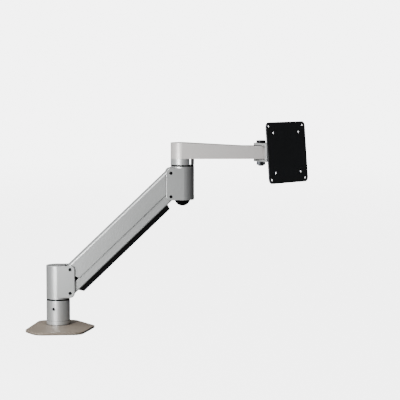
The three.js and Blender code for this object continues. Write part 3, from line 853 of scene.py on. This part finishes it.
@dataclass
class Base:
    """The foot plate, the fixed tube, its bush and its screws.

    Attributes:
        radius: Column radius.
        corners: The foot plate's corners, counterclockwise from the back right.
        screw_ring: Radius of the ring of screws under the tube.
        fixing_middle: The middle of the four fixing holes.
        fixing_half: Half their distance across and along.
        bush_bore: Radius of the tube's bore, which holds the bush.
        screw_hole: Radius of the screw holes.
        set_screw_height: Height of the set screw.
        set_screw_turn: Degrees from +X to the set screw.
    """

    radius: float = 22.5
    corners: tuple[Corner, ...] = (
        Corner(31, 50, 18),
        Corner(-37, 47, 16),
        Corner(-61, -66, 18),
        Corner(-40, -105.5, 24),
        Corner(45, -104, 22),
        Corner(70, -22, 10),
    )
    screw_ring: float = 16.5
    fixing_middle: Point = (3.3, -29.5)
    fixing_half: Point = (34, 46)
    bush_bore: float = 11.15
    screw_hole: float = 3.2
    set_screw_height: float = 36
    set_screw_turn: float = -112

    def outline(self, inset: float) -> list[Point]:
        """Give the plate's outline.

        Args:
            inset: How far inside the edge it runs.

        Returns:
            The outline in mm.
        """
        points: list[Point] = []
        count = len(self.corners)
        for i, corner in enumerate(self.corners):
            here = Vector((corner.x, corner.y))
            last = self.corners[i - 1]
            following = self.corners[(i + 1) % count]
            arriving = (here - Vector((last.x, last.y))).normalized()
            leaving = (Vector((following.x, following.y)) - here).normalized()
            turn = arriving.angle(leaving)
            inward = (leaving - arriving).normalized()
            center = here + inward * corner.radius / math.cos(turn / 2)
            start = math.degrees(math.atan2(-arriving.x, arriving.y))
            points += arc(tuple(center), corner.radius - inset, start, start + math.degrees(turn), 14)
        return points

    def screw_places(self) -> list[Point]:
        """List the places of the three screws under the tube."""
        angles = [math.radians(60 + 120 * i) for i in range(3)]
        return [(self.screw_ring * math.cos(angle), self.screw_ring * math.sin(angle)) for angle in angles]

    def build_plate(self) -> None:
        """Build the foot plate with a rounded rim and blind fixing holes below."""
        low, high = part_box("base_plate")
        bottom, top = low.z / MM, high.z / MM
        plate = extrusion("plate", self.outline(0.05), Axis.Z, bottom, top)
        hole, depth = 2.5, 3.2
        for sx in (-1, 1):
            for sy in (-1, 1):
                x = self.fixing_middle[0] + self.fixing_half[0] * sx
                y = self.fixing_middle[1] + self.fixing_half[1] * sy
                combine(plate, Join.CUT, rod(hole, 0, bottom + depth, at=(x, y)))
        head, head_depth = 5.4, 2.2
        for place in self.screw_places():
            pocket = rod(head, 0, bottom + head_depth, at=place)
            combine(plate, Join.CUT, pocket, rod(self.screw_hole, 0, top + 1, at=place))
        soften(plate, 0.7, 4)
        set_down(plate, "foot_plate", Matrix.Identity(4), "base", FOOT_PAINT, "base_plate")

    def build_tube(self) -> None:
        """Build the turned tube with its foot groove, bright rim chamfer and set-screw hole."""
        low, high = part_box("base_tube")
        bottom, top = low.z / MM, high.z / MM
        groove = bottom + 8
        r, bore = self.radius, self.bush_bore
        profile = [(bore, bottom), (r - 0.3, bottom), (r, bottom + 0.3)]
        profile += [(r, groove - 0.35), (r - 0.4, groove), (r, groove + 0.35)]
        profile += [(r, top - 0.9), (r - 0.25, top - 0.25), (r - 0.9, top), (bore, top)]
        tube = lathe("tube", profile, 128)
        thread = 15
        for place in self.screw_places():
            combine(tube, Join.CUT, rod(self.screw_hole, 0, bottom + thread, at=place))
        hole = rod(3, 5, THROUGH, Axis.X, (0, self.set_screw_height), 32)
        hole.data.transform(turn(self.set_screw_turn, "Z"))
        combine(tube, Join.CUT, hole)
        soften(tube, 0)
        set_down(tube, "base_column", Matrix.Identity(4), "base", SILVER, "base_tube")

    def build(self) -> None:
        """Build the base."""
        self.build_plate()
        self.build_tube()
        keep_node("base_pad", RUBBER)
        keep_node("base_set_screw", BLACK_OXIDE)
        for i in (1, 2, 3):
            keep_node(f"base_screw_{i}", ZINC, 0.3)
        build_bush("swivel_bush", "base_bush", "base")


def build_bush(name: str, node: str, body: str) -> None:
    """Build a flanged swivel bush, whose flange is the dark ring between two columns.

    Args:
        name: The piece's name.
        node: The CAD node that it stands for.
        body: The body that it rides on.
    """
    low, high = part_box(node)
    middle = (low + high) / 2
    bottom, top = low.z / MM, high.z / MM
    rim = (high.x - low.x) / 2 / MM
    bore, sleeve, flange = 9.2, 11, top - 2.5
    profile = [(bore, bottom + 0.5), (bore + 0.4, bottom), (sleeve - 0.4, bottom), (sleeve, bottom + 0.5)]
    profile += [(sleeve, flange), (rim - 0.4, flange), (rim, flange + 0.4)]
    profile += [(rim, top - 0.4), (rim - 0.4, top), (bore, top)]
    bush = soften(lathe("bush", profile, 128), 0)
    set_down(bush, name, Matrix.Translation((middle.x, middle.y, 0)), body, NYLON, node)


@dataclass
class Knuckle:
    """A cast knuckle: a column with two flat cheeks and a slot for the links.

    Heights are from the end next to the swivel. The upper one is the same casting turned over.

    Attributes:
        height: Full height.
        near_pin: Height of the pin next to the swivel.
        far_pin: Height of the other pin.
        pin_x: The pins' distance from the column's axis.
        reach: How far the cheeks reach.
        radius: Column radius.
        slot_half: Half the slot's width.
        slot_start: Where the slot starts.
        slot_floor: Thickness left under the slot.
        post_bore: Radius of the bore for the post.
        cheek_round: Corner radius of the cheeks at the far end.
        pin_radius: Radius of the pivot pins.
    """

    height: float = 64
    near_pin: float = 12
    far_pin: float = 57
    pin_x: float = 23
    reach: float = 32
    radius: float = 22.5
    slot_half: float = 19
    slot_start: float = 13.5
    slot_floor: float = 2.2
    post_bore: float = 9.15
    cheek_round: float = 6.5
    pin_radius: float = 3

    def casting(self) -> Piece:
        """Build the casting without its bore."""
        rim = 0.5
        low = [(0, 0), (self.radius - rim, 0), (self.radius, rim)]
        high = [(self.radius, self.height - rim), (self.radius - rim, self.height), (0, self.height)]
        column = lathe("column", low + high, 128)
        cheek_start = self.near_pin - (self.reach - self.pin_x)
        tail = -3.0
        corner = self.cheek_round
        outline = [(tail, cheek_start)]
        outline += arc((self.pin_x, self.near_pin), self.reach - self.pin_x, -90, 0)
        outline += arc((self.reach - corner, self.height - corner), corner, 0, 90)
        outline.append((tail, self.height))
        cheeks = extrusion("cheeks", outline, Axis.Y, -self.radius, self.radius)
        round_edges(cheeks, 1.1, 4)
        combine(column, Join.ADD, cheeks)
        half = self.slot_half
        slot = block(self.slot_start, self.reach + 5, -half, half, self.slot_floor, self.height + 5)
        combine(column, Join.CUT, slot)
        hole = self.pin_radius + 0.15
        for z in (self.near_pin, self.far_pin):
            combine(column, Join.CUT, rod(hole, -THROUGH, THROUGH, Axis.Y, (self.pin_x, z), 40))
        return column

    def build_pins(self, place: Matrix, body: str, near: str, far: str) -> None:
        """Build both pivot pins, set a little below the cheeks.

        Args:
            place: The casting's frame.
            body: The body that they ride on.
            near: The near pin's CAD node.
            far: The far pin's CAD node.
        """
        half = self.radius - 1.1
        rim = 0.4
        key = 1.6
        r = self.pin_radius
        for node, z in ((near, self.near_pin), (far, self.far_pin)):
            profile = [(0, -half), (r - rim, -half), (r, -half + rim)]
            profile += [(r, half - rim), (r - rim, half), (0, half)]
            pin = lathe("pin", profile, 40)
            socket = rod(key, half - 2.5, half + 1, segments=6)
            combine(pin, Join.CUT, socket, rod(key, -half - 1, -half + 1, segments=6))
            pin.data.transform(shift(self.pin_x, 0, z) @ turn(90, "X"))
            soften(pin, 0)
            set_down(pin, f"{node}_turned", place, body, BLACK_OXIDE, node)

    def build_lower(self) -> None:
        """Build the lower knuckle with the lugs of the lift adjuster."""
        place = Matrix.Translation(joint_point("base_swivel"))
        casting = self.casting()
        lug_end, lug_half, adjuster_at = 21, 7, 17.3
        for low, high in ((20, 24), (45, 49)):
            lug = block(self.slot_start - 1, lug_end, -lug_half, lug_half, low, high)
            combine(casting, Join.ADD, lug)
        post = rod(self.post_bore, -1, 44)
        bolt = rod(4.3, 43, 51)
        pocket = rod(11.2, 50, self.height + 1, segments=96)
        adjuster = rod(3.2, 19, 50, at=(adjuster_at, 0))
        combine(casting, Join.CUT, post, bolt, pocket, adjuster)
        soften(casting, 0.4, 2)
        set_down(casting, "lower_knuckle_casting", place, "column", SILVER, "lower_knuckle")
        self.build_pins(place, "column", "lower_knuckle_near_pin", "lower_knuckle_far_pin")
        top = self.height
        profile = [(0, top - 3), (10.6, top - 3), (11, top - 2.6), (11, top - 0.5), (10.5, top)]
        profile += [(9.2, top), (8.9, top - 0.25), (8.6, top), (0, top)]
        cap = soften(lathe("cap", profile, 96), 0)
        set_down(cap, "lower_knuckle_cap_moulded", place, "column", GREY_ABS, "lower_knuckle_cap")
        keep_node("lower_post", ZINC)
        keep_node("lower_post_bolt", BLACK_OXIDE)
        keep_node("spring_anchor", ZINC, 0.3)
        keep_node("spring_anchor_pin", ZINC)
        keep_node("lift_adjust_screw", BLACK_OXIDE)

    def build_upper(self) -> None:
        """Build the upper knuckle, its pins, bush and dome plug."""
        low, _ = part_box("upper_knuckle")
        swivel = joint_point("forearm_swivel")
        foot = Vector((swivel.x, 0, low.z))
        place = Matrix.Translation(foot + Vector((0, 0, self.height * MM))) @ turn(180, "Y")
        bush_bore = 11.15
        casting = combine(self.casting(), Join.CUT, rod(bush_bore, -1, self.height + 1, segments=96))
        soften(casting, 0.4, 2)
        set_down(casting, "upper_knuckle_casting", place, "elbow", SILVER, "upper_knuckle")
        self.build_pins(place, "elbow", "upper_knuckle_near_pin", "upper_knuckle_far_pin")
        build_bush("elbow_bush", "upper_bush", "elbow")
        radius, drop = 15.5, 12.0
        rim = math.degrees(math.acos((radius - drop) / radius))
        profile = [(0.0, -drop)]
        profile += arc((0, radius - drop), radius, -90 + rim / 16, -90 + rim - 1, 15)
        edge = radius * math.sin(math.radians(rim))
        stem, stem_top = 10.9, 4.0
        profile += [(edge, -0.5), (edge - 0.4, 0.0), (stem, 0.0), (stem, stem_top), (0.0, stem_top)]
        plug = soften(lathe("plug", profile, 96), 0)
        set_down(plug, "dome_plug", Matrix.Translation(foot), "elbow", NYLON, "knuckle_plug")


@dataclass(frozen=True)
class Fold:
    """The sizes of a folded channel in mm, with its web above.

    Attributes:
        half: Half its width.
        corner: Its outer corner radius.
        web: Height of the web's outer face above the pins.
        drop: Depth of the walls below the pins.
        near_cut: How far the walls are cut back at the near end.
        far_cut: The same at the far end.
        tapered: Whether the walls run straight from the near corner to the far nose.
    """

    half: float
    corner: float
    web: float
    drop: float
    near_cut: float
    far_cut: float
    tapered: bool = False


@dataclass
class Links:
    """The two folded channels of the parallelogram and the cable cover under them.

    Attributes:
        length: Pin to pin.
        nose: Radius of the round noses.
        wall: Sheet thickness.
        sleeve_hole: Radius of the holes for the sleeves.
        upper: The upper channel.
        lower: The lower channel, which is turned over, so its near end lies at the elbow.
        cover_start: Where the cover starts along the link.
        cover_end: Where it ends.
        cover_half: Half its width.
        tabs: How many tabs hold it.
    """

    length: float = 265
    nose: float = 8.9
    wall: float = 2
    sleeve_hole: float = 5.3
    upper: Fold = Fold(18.5, 3.5, 7.7, 23.4, 2, 17)
    lower: Fold = Fold(16, 2.5, 7.2, 24.6, 3, 18, tapered=True)
    cover_start: float = 15.5
    cover_end: float = 250.0
    cover_half: float = 13.0
    tabs: int = 3

    def link_frame(self, joint: str) -> Matrix:
        """Give the frame of a link from its near pin, X along the link."""
        direction = joint_point("elbow_level") - joint_point("arm_lift")
        return frame_at(joint_point(joint), direction)

    def section(self, fold: Fold) -> list[Point]:
        """Give a channel's section, open below."""
        bend = max(fold.corner - self.wall, 0.5)
        x, y = fold.half - fold.corner, fold.web - fold.corner
        inner_half = fold.half - self.wall
        inner_x, inner_y = inner_half - bend, fold.web - self.wall - bend
        points = [(fold.half, -fold.drop)]
        points += arc((x, y), fold.corner, 0, 90, 8) + arc((-x, y), fold.corner, 90, 180, 8)
        points += [(-fold.half, -fold.drop), (-inner_half, -fold.drop)]
        points += arc((-inner_x, inner_y), bend, 180, 90, 6) + arc((inner_x, inner_y), bend, 90, 0, 6)
        points.append((inner_half, -fold.drop))
        return points

    def tangent(self, cut_back: float, drop: float) -> float:
        """Give the angle in degrees at which a line from a corner touches the nose."""
        return math.degrees(math.atan2(drop, cut_back) + math.acos(self.nose / math.hypot(cut_back, drop)))

    def side_outline(self, fold: Fold) -> list[Point]:
        """Give a channel's outline from the side."""
        far_corner = [] if fold.tapered else [(self.length - fold.far_cut, -fold.drop)]
        web_angle = math.degrees(math.asin(min(fold.web / self.nose, 1)))
        near_end = 360 - self.tangent(fold.near_cut, fold.drop)
        far_start = self.tangent(fold.far_cut, fold.drop) - 180
        near = arc((0, 0), self.nose, 180 - web_angle, near_end, 16)
        far = arc((self.length, 0), self.nose, far_start, web_angle, 16)
        return near + [(fold.near_cut, -fold.drop)] + far_corner + far

    def channel(self, fold: Fold) -> Piece:
        """Build a channel with its sleeve holes, web above."""
        overrun = 12
        channel = extrusion("channel", self.section(fold), Axis.X, -overrun, self.length + overrun)
        outline = extrusion("tool", self.side_outline(fold), Axis.Y, -THROUGH, THROUGH)
        combine(channel, Join.KEEP, outline)
        for x in (0, self.length):
            combine(channel, Join.CUT, rod(self.sleeve_hole, -THROUGH, THROUGH, Axis.Y, (x, 0)))
        return channel

    def build_upper(self) -> None:
        """Build the upper channel."""
        place = self.link_frame("arm_lift")
        channel = soften(self.channel(self.upper), 0.35, 2, 45)
        set_down(channel, "upper_channel_folded", place, "upper_link", SILVER, "upper_channel")

    def build_lower(self) -> None:
        """Build the lower channel, which is the same fold turned over, with slots for the tabs."""
        place = self.link_frame("lower_link_lift")
        channel = self.channel(self.lower)
        channel.data.transform(shift(self.length, 0, 0) @ turn(180, "Y"))
        half, thick = 6.3, 1.8
        for u in self.tab_places():
            combine(channel, Join.CUT, block(u - half, u + half, -thick, thick, -9, -3))
        soften(channel, 0.35, 2, 45)
        set_down(channel, "lower_channel_folded", place, "lower_link", SILVER, "lower_channel")

    def tab_places(self) -> list[float]:
        """List the places of the cover's tabs along the link."""
        spacing = (self.cover_end - self.cover_start) / self.tabs
        return [self.cover_start + (i + 0.5) * spacing for i in range(self.tabs)]

    def build_cover(self) -> None:
        """Build the cable cover: a shallow tray with slanted ends, snapped under the lower channel."""
        place = self.link_frame("lower_link_lift")
        top, bottom, fold, slant, wall = -7.5, -16.4, 0.8, 5.5, 1.6
        start, end, half = self.cover_start, self.cover_end, self.cover_half
        section = [(half, top)] + arc((half - fold, bottom + fold), fold, 0, -90, 5)
        section += arc((-half + fold, bottom + fold), fold, -90, -180, 5) + [(-half, top)]
        cover = extrusion("cover", section, Axis.X, 0, self.length)
        side = [(start, top + 1), (start, top), (start + slant, bottom)]
        side += [(end - slant / 2, bottom), (end, top), (end, top + 1)]
        combine(cover, Join.KEEP, extrusion("tool", side, Axis.Y, -THROUGH, THROUGH))
        inset = slant + 1.5
        hollow = block(start + inset, end - inset, -half + wall, half - wall, bottom + wall, top + 2)
        combine(cover, Join.CUT, hollow)
        tab, thick, tab_top = 6, 1.5, -3.8
        for u in self.tab_places():
            combine(cover, Join.ADD, block(u - tab, u + tab, -thick, thick, bottom + 1, tab_top))
        soften(cover, 0.4, 2, 40)
        set_down(cover, "cable_cover_tray", place, "lower_link", NYLON, "cable_cover")

    def build(self) -> None:
        """Build both links and the gas spring's finishes."""
        self.build_upper()
        self.build_lower()
        self.build_cover()
        for link in ("upper", "lower"):
            for end in ("near", "far"):
                keep_node(f"{link}_channel_{end}_sleeve", NYLON)
        keep_node("gas_spring_bracket", ZINC, 0.3)
        keep_node("gas_spring_pin", ZINC)
        keep_node("gas_rod", CHROME)
        keep_node("gas_rod_eye", BLACK_OXIDE, 0.3)
        keep_node("gas_cylinder", ENAMEL)
        keep_node("gas_cylinder_gland", NYLON)
        keep_node("gas_cylinder_eye", BLACK_OXIDE, 0.3)


@dataclass
class Forearm:
    """The tapering forearm on its hub.

    Attributes:
        reach: From the hub's axis to the pan axis.
        radius: Hub radius.
        end_half: Half width at the far end.
        bar_bottom: Height of the beam's underside above the bush.
        hub_top: Height of the top at the hub.
        end_top: Height of the top at the far end.
        flat: Length of the level top round the pan axis.
    """

    reach: float = 150
    radius: float = 22.5
    end_half: float = 19
    bar_bottom: float = 12.1
    hub_top: float = 42.6
    end_top: float = 36.6
    flat: float = 36

    def place(self) -> Matrix:
        """Give the forearm's frame, X towards the pan axis."""
        origin = joint_point("forearm_swivel")
        return frame_at(origin, level(joint_point("head_pan") - origin))

    def build(self) -> None:
        """Build the beam, its hub, the cover below and the inner pieces' finishes."""
        lean = math.degrees(math.asin((self.radius - self.end_half) / self.reach))
        bottom, post_bore, post_top, edge = self.bar_bottom, 9.15, 32, 0.3
        outline = arc((0, 0), self.radius, 90 - lean, 270 + lean, 64)
        outline += arc((self.reach, 0), self.end_half, -90 + lean, 90 - lean, 48)
        beam = extrusion("beam", outline, Axis.Z, edge, self.hub_top + 1)
        far = self.reach + THROUGH
        side = [(-THROUGH, bottom), (far, bottom), (far, self.end_top)]
        side += [(self.reach - self.flat, self.end_top), (0, self.hub_top), (-THROUGH, self.hub_top)]
        combine(beam, Join.KEEP, extrusion("tool", side, Axis.Y, -THROUGH, THROUGH))
        rim = [(0, edge), (self.radius - 0.5, edge), (self.radius, edge + 0.5), (self.radius, bottom)]
        foot = lathe("foot", rim + [(0, bottom)], 128)
        tie_slot = block(13.6, 16, -THROUGH, THROUGH, -1, bottom + 1)
        combine(foot, Join.CUT, tie_slot, rod(post_bore, -1, post_top, segments=64))
        below = block(-THROUGH, far, -THROUGH, THROUGH, -1, bottom)
        hollow = block(26, self.reach - 20, -15, 15, bottom - 1, self.end_top - 4)
        seat = block(24, self.reach - 19, -16, 16, bottom - 1, bottom + 2.6)
        post = rod(post_bore, -1, post_top, segments=64)
        pan = rod(8.15, bottom - 1, self.end_top + 1, at=(self.reach, 0), segments=64)
        combine(beam, Join.CUT, below, hollow, seat, post, pan)
        soften(beam, 0.6, 3)
        soften(foot, 0.3, 2)
        place = self.place()
        # Painted light and shade: the beam takes the lighter copy of the silver coat and the foot under it
        # the darker one, so the one casting reads lit above and shaded below the bar.
        set_down(foot, "forearm_foot", place, "forearm_beam", SILVER, "forearm")
        set_down(beam, "forearm_casting", place, "forearm_beam", SILVER_LIT_WARM, "forearm")
        cover = rounded_box(24.3, self.reach - 19.3, -15.7, 15.7, 2)
        lid = soften(extrusion("lid", cover, Axis.Z, bottom + 0.3, bottom + 2.3), 0.4, 2)
        set_down(lid, "forearm_lid", place, "forearm_beam", GREY_ABS, "forearm_cover")
        keep_node("forearm_post", ZINC)
        keep_node("post_washer", ZINC)
        keep_node("post_bolt", BLACK_OXIDE)
        keep_node("pan_bush", NYLON)


@dataclass
class Head:
    """The yoke, the tilting block and the screen plate.

    Attributes:
        lug: Thickness of the yoke's lugs.
        half: Half the yoke's width.
        wall_at: Where the yoke's front wall starts.
        wall: Its thickness.
        ear: Where each ear starts across.
        ear_wall: Ear thickness.
        tilt_radius: Radius of the ears.
        plate_half: Half the screen plate's side.
        plate_gap: From the tilt axis to the plate.
        lug_gap: Half the gap between the lugs, which hold the forearm's end and two washers.
        pan_hole: Radius of the pan bolt's holes.
        tilt_hole: Radius of the tilt screws' holes.
    """

    lug: float = 4
    half: float = 18
    wall_at: float = 24
    wall: float = 5
    ear: float = 12
    ear_wall: float = 5
    tilt_radius: float = 11
    plate_half: float = 57.5
    plate_gap: float = 18
    lug_gap: float = 13.45
    pan_hole: float = 5.2
    tilt_hole: float = 4.15

    def forward(self) -> float:
        """Give the distance in mm from the pan axis to the tilt axis."""
        return level(joint_point("head_tilt") - joint_point("head_pan")).length / MM

    def yoke_frame(self) -> Matrix:
        """Give the yoke's frame: origin on the pan axis at mid height, X towards the screen."""
        origin = joint_point("head_pan")
        return frame_at(origin, level(joint_point("head_tilt") - origin))

    def tilt_frame(self) -> Matrix:
        """Give the tilting block's frame: X out of the plate."""
        out, across = Vector(JOINTS["plate_roll"]["axis"]), -Vector(JOINTS["head_tilt"]["axis"])
        return frame_at(joint_point("head_tilt"), out, across)

    def build_yoke(self) -> None:
        """Build the yoke with its two lugs, front wall and two ears."""
        forward, wall_end = self.forward(), self.wall_at + self.wall
        outer = self.lug_gap + self.lug
        lug = arc((0, 0), 14, 120, 240, 24) + [(self.wall_at, -self.half), (wall_end, -self.half)]
        lug += [(wall_end, self.half), (self.wall_at, self.half)]
        yoke = extrusion("yoke", lug, Axis.Z, self.lug_gap, outer)
        combine(yoke, Join.ADD, extrusion("tool", lug, Axis.Z, -outer, -self.lug_gap))
        wall = rounded_box(-self.half, self.half, -outer, outer, 2.5)
        combine(yoke, Join.ADD, extrusion("tool", wall, Axis.X, self.wall_at, wall_end))
        ear = [(self.wall_at + 1, -self.tilt_radius)] + arc((forward, 0), self.tilt_radius, -90, 90, 24)
        ear.append((self.wall_at + 1, self.tilt_radius))
        for start in (self.ear, -self.ear - self.ear_wall):
            combine(yoke, Join.ADD, extrusion("tool", ear, Axis.Y, start, start + self.ear_wall))
        tilt = rod(self.tilt_hole, -THROUGH, THROUGH, Axis.Y, (forward, 0))
        combine(yoke, Join.CUT, rod(self.pan_hole, -THROUGH, THROUGH), tilt)
        soften(yoke, 0.8, 3)
        set_down(yoke, "yoke_casting", self.yoke_frame(), "yoke", SILVER, "head_yoke")

    def build_fasteners(self) -> None:
        """Build the pan bolt, its nut and both tilt screws."""
        frame_of_yoke = self.yoke_frame()
        top = self.lug_gap + self.lug
        bolt = CapScrew(5, 2 * top + 9, 9, 5, 4).build()
        bolt.data.transform(shift(0, 0, top))
        set_down(bolt, "pan_bolt_turned", frame_of_yoke, "yoke", BLACK_OXIDE, "pan_bolt")
        nut_low = -top - 7
        nut = extrusion("nut", arc((0, 0), 9, 0, 300, 5), Axis.Z, nut_low, -top)
        combine(nut, Join.CUT, rod(self.pan_hole, nut_low - 3, 0))
        profile = [(0, nut_low), (7.6, nut_low), (9.2, nut_low + 1)]
        profile += [(9.2, -top - 0.8), (8.4, -top), (0, -top)]
        combine(nut, Join.KEEP, lathe("tool", profile, 64))
        soften(nut, 0.15, 2)
        set_down(nut, "pan_lock_nut", frame_of_yoke, "yoke", ZINC, "pan_nut")
        reach = self.ear + self.ear_wall
        for side, node in ((1, "tilt_screw_left"), (-1, "tilt_screw_right")):
            screw = CapScrew(4, reach - 7.5, 7, 4, 3).build()
            screw.data.transform(shift(self.forward(), side * reach, 0) @ turn(-90 * side, "X"))
            set_down(screw, f"{node}_turned", frame_of_yoke, "yoke", BLACK_OXIDE, node)

    def build_block(self) -> None:
        """Build the tilting block with the spindle's bore and nut pocket."""
        r = self.tilt_radius - 0.5
        front = self.plate_gap - 2.2
        outline = arc((0, 0), r, 90, 270, 32) + [(front, -r), (front, r)]
        half = self.ear - 1.2
        body = extrusion("block", outline, Axis.Y, -half, half)
        deep = 7.1
        left, right = rod(self.tilt_hole, deep, 20, Axis.Y), rod(self.tilt_hole, -20, -deep, Axis.Y)
        spindle, pocket = rod(4.2, -20, THROUGH, Axis.X), rod(6.9, -20, -5, Axis.X)
        combine(body, Join.CUT, left, right, spindle, pocket)
        soften(body, 0.7, 3)
        set_down(body, "tilt_block_casting", self.tilt_frame(), "tilter", SILVER, "tilt_block")

    def build_plate(self) -> None:
        """Build the screen plate with two square patterns of holes."""
        h = self.plate_half
        outline = rounded_box(-h, h, -h, h, 9, 12)
        plate = extrusion("plate", outline, Axis.X, self.plate_gap, self.plate_gap + 3)
        for half in (75 / 2, 100 / 2):
            for y in (-half, half):
                for z in (-half, half):
                    combine(plate, Join.CUT, rod(2.5, 0, 40, Axis.X, (y, z), 32))
        soften(plate, 0.5, 3)
        set_down(plate, "screen_plate_pressed", self.tilt_frame(), "head_plate", BLACK_COAT, "vesa_plate")

    def build(self) -> None:
        """Build the head."""
        self.build_yoke()
        self.build_fasteners()
        self.build_block()
        self.build_plate()
        for node in ("pan_washer_upper", "pan_washer_lower", "tilt_washer_left", "tilt_washer_right"):
            keep_node(node, NYLON)
        keep_node("roll_washer", NYLON)
        keep_node("roll_spindle", ZINC)
        keep_node("roll_nut", ZINC, 0.3)


def main() -> None:
    """Build the studio and every sub-assembly in order."""
    logging.basicConfig(level=logging.INFO, format="%(name)s: %(message)s")
    Studio().build()
    knuckle = Knuckle()
    steps: list[tuple[str, Callable[[], None]]] = [
        ("base", Base().build),
        ("lower knuckle", knuckle.build_lower),
        ("links and gas spring", Links().build),
        ("upper knuckle", knuckle.build_upper),
        ("forearm", Forearm().build),
        ("head", Head().build),
    ]
    for name, build in steps:
        build()
        LOG.info("built %s", name)


if __name__ == "__main__":
    main()
